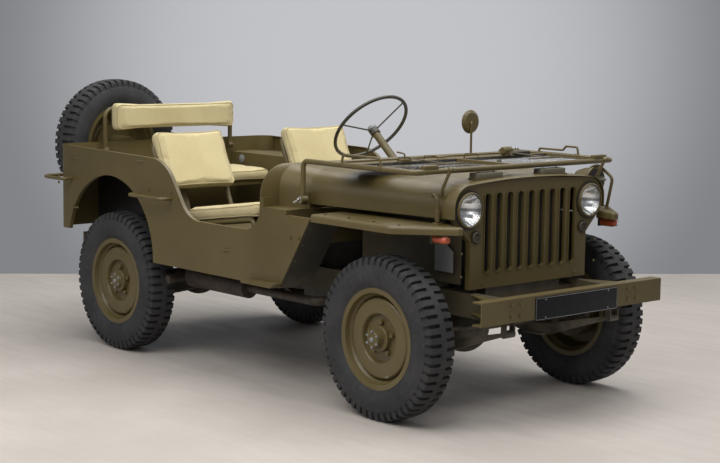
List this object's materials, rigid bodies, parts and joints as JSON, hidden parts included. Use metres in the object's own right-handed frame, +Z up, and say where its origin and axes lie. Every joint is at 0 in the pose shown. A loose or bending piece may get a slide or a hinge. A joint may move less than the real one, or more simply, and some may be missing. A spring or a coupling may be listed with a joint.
{
  "type": "army 4x4 car",
  "caption": "Open quarter-ton army 4x4 car with a slotted grille, folded windshield, canvas seats, rear spare wheel, turning steering and rolling wheels.",
  "frame": {"origin": "on the ground at the centre of the overall length and width", "axes": "+X forward, +Y to the left, +Z up"},
  "size_m": [3.3296, 1.575, 1.385],
  "materials": {
    "olive_paint": "matt",
    "chassis_paint": "matt",
    "plate_black": "satin",
    "tyre_rubber": "matt",
    "canvas": "woven",
    "window_glass": "clear",
    "lamp_glass": "clear lens over a bright reflector",
    "engine_iron": "cast",
    "exhaust_steel": "dull"
  },
  "bodies": {
    "car_body": {"chassis_frame": "olive_paint", "cowl": "olive_paint", "drive_line": "engine_iron", "driver_seat_frame": "olive_paint", "driver_seat_pads": "canvas", "engine_block": "engine_iron", "exhaust": "exhaust_steel", "fenders": "olive_paint", "floor_pan": "olive_paint", "front_axle": "chassis_paint", "front_bumper": "olive_paint", "fuel_tank": "olive_paint", "grab_handles": "olive_paint", "grille_panel": "olive_paint", "headlamps": "lamp_glass", "hood": "olive_paint", "leaf_springs": "chassis_paint", "marker_lamps": "lamp_glass", "mirror": "olive_paint", "number_plate": "plate_black", "radiator": "chassis_paint", "rear_axle": "chassis_paint", "rear_fittings": "olive_paint", "rear_panel": "olive_paint", "rear_seat_cushion": "canvas", "rear_seat_rails": "olive_paint", "side_panels": "olive_paint", "spare_carrier": "olive_paint", "spare_tyre": "tyre_rubber", "spare_wheel": "olive_paint", "steering_column": "olive_paint", "wheel_houses": "olive_paint"},
    "knuckle_left": {"knuckle_left": "chassis_paint"},
    "knuckle_right": {"knuckle_right": "chassis_paint"},
    "tie_rod": {"tie_rod": "chassis_paint"},
    "front_left_wheel": {"tyre_front_left": "tyre_rubber", "wheel_front_left": "olive_paint"},
    "front_right_wheel": {"tyre_front_right": "tyre_rubber", "wheel_front_right": "olive_paint"},
    "rear_left_wheel": {"tyre_rear_left": "tyre_rubber", "wheel_rear_left": "olive_paint"},
    "rear_right_wheel": {"tyre_rear_right": "tyre_rubber", "wheel_rear_right": "olive_paint"},
    "steering_wheel": {"steering_wheel": "olive_paint"},
    "windshield": {"windshield_frame": "olive_paint", "windshield_glass": "window_glass"},
    "passenger_seat": {"passenger_seat_pads": "canvas", "passenger_seat_frame": "olive_paint"},
    "rear_backrest": {"rear_seat_back": "canvas", "rear_seat_frame": "olive_paint"}
  },
  "joints": [
    {"name": "steer_left", "type": "hinge", "parent": "car_body", "child": "knuckle_left", "pos_m": [1.128, 0.5185, 0.361], "axis": [0, 0, 1], "range_deg": [-26, 26]},
    {"name": "steer_right", "type": "hinge", "parent": "car_body", "child": "knuckle_right", "pos_m": [1.128, -0.5185, 0.361], "axis": [0, 0, 1], "range_deg": [-26, 26]},
    {"name": "tie_rod_pivot", "type": "hinge", "parent": "knuckle_left", "child": "tie_rod", "pos_m": [1.278, 0.5185, 0.3893], "axis": [0, 0, 1], "range_deg": [-26, 26]},
    {"name": "steering_wheel_turn", "type": "hinge", "parent": "car_body", "child": "steering_wheel", "pos_m": [-0.086, 0.36, 1.18], "axis": [-0.7593, 0, 0.6508], "range_deg": [-338, 338]},
    {"name": "front_left_wheel_roll", "type": "hinge", "parent": "knuckle_left", "child": "front_left_wheel", "pos_m": [1.128, 0.6225, 0.361], "axis": [0, 1, 0], "continuous": true},
    {"name": "front_right_wheel_roll", "type": "hinge", "parent": "knuckle_right", "child": "front_right_wheel", "pos_m": [1.128, -0.6225, 0.361], "axis": [0, 1, 0], "continuous": true},
    {"name": "rear_left_wheel_roll", "type": "hinge", "parent": "car_body", "child": "rear_left_wheel", "pos_m": [-0.904, 0.6225, 0.361], "axis": [0, 1, 0], "continuous": true},
    {"name": "rear_right_wheel_roll", "type": "hinge", "parent": "car_body", "child": "rear_right_wheel", "pos_m": [-0.904, -0.6225, 0.361], "axis": [0, 1, 0], "continuous": true},
    {"name": "windshield_fold", "type": "hinge", "parent": "car_body", "child": "windshield", "pos_m": [0.573, 0, 0.915], "axis": [0, -1, 0], "range_deg": [0, 90]},
    {"name": "passenger_seat_tip", "type": "hinge", "parent": "car_body", "child": "passenger_seat", "pos_m": [0.18517, -0.42, 0.5773], "axis": [0, 1, 0], "range_deg": [0, 45]},
    {"name": "rear_backrest_fold", "type": "hinge", "parent": "car_body", "child": "rear_backrest", "pos_m": [-1.3948, 0, 1.005], "axis": [0, 1, 0], "range_deg": [0, 90]}
  ],
  "couplings": [
    {"joint": "steer_right", "follows": "steer_left", "ratio": 1},
    {"joint": "tie_rod_pivot", "follows": "steer_left", "ratio": -1},
    {"joint": "steering_wheel_turn", "follows": "steer_left", "ratio": 13}
  ]
}
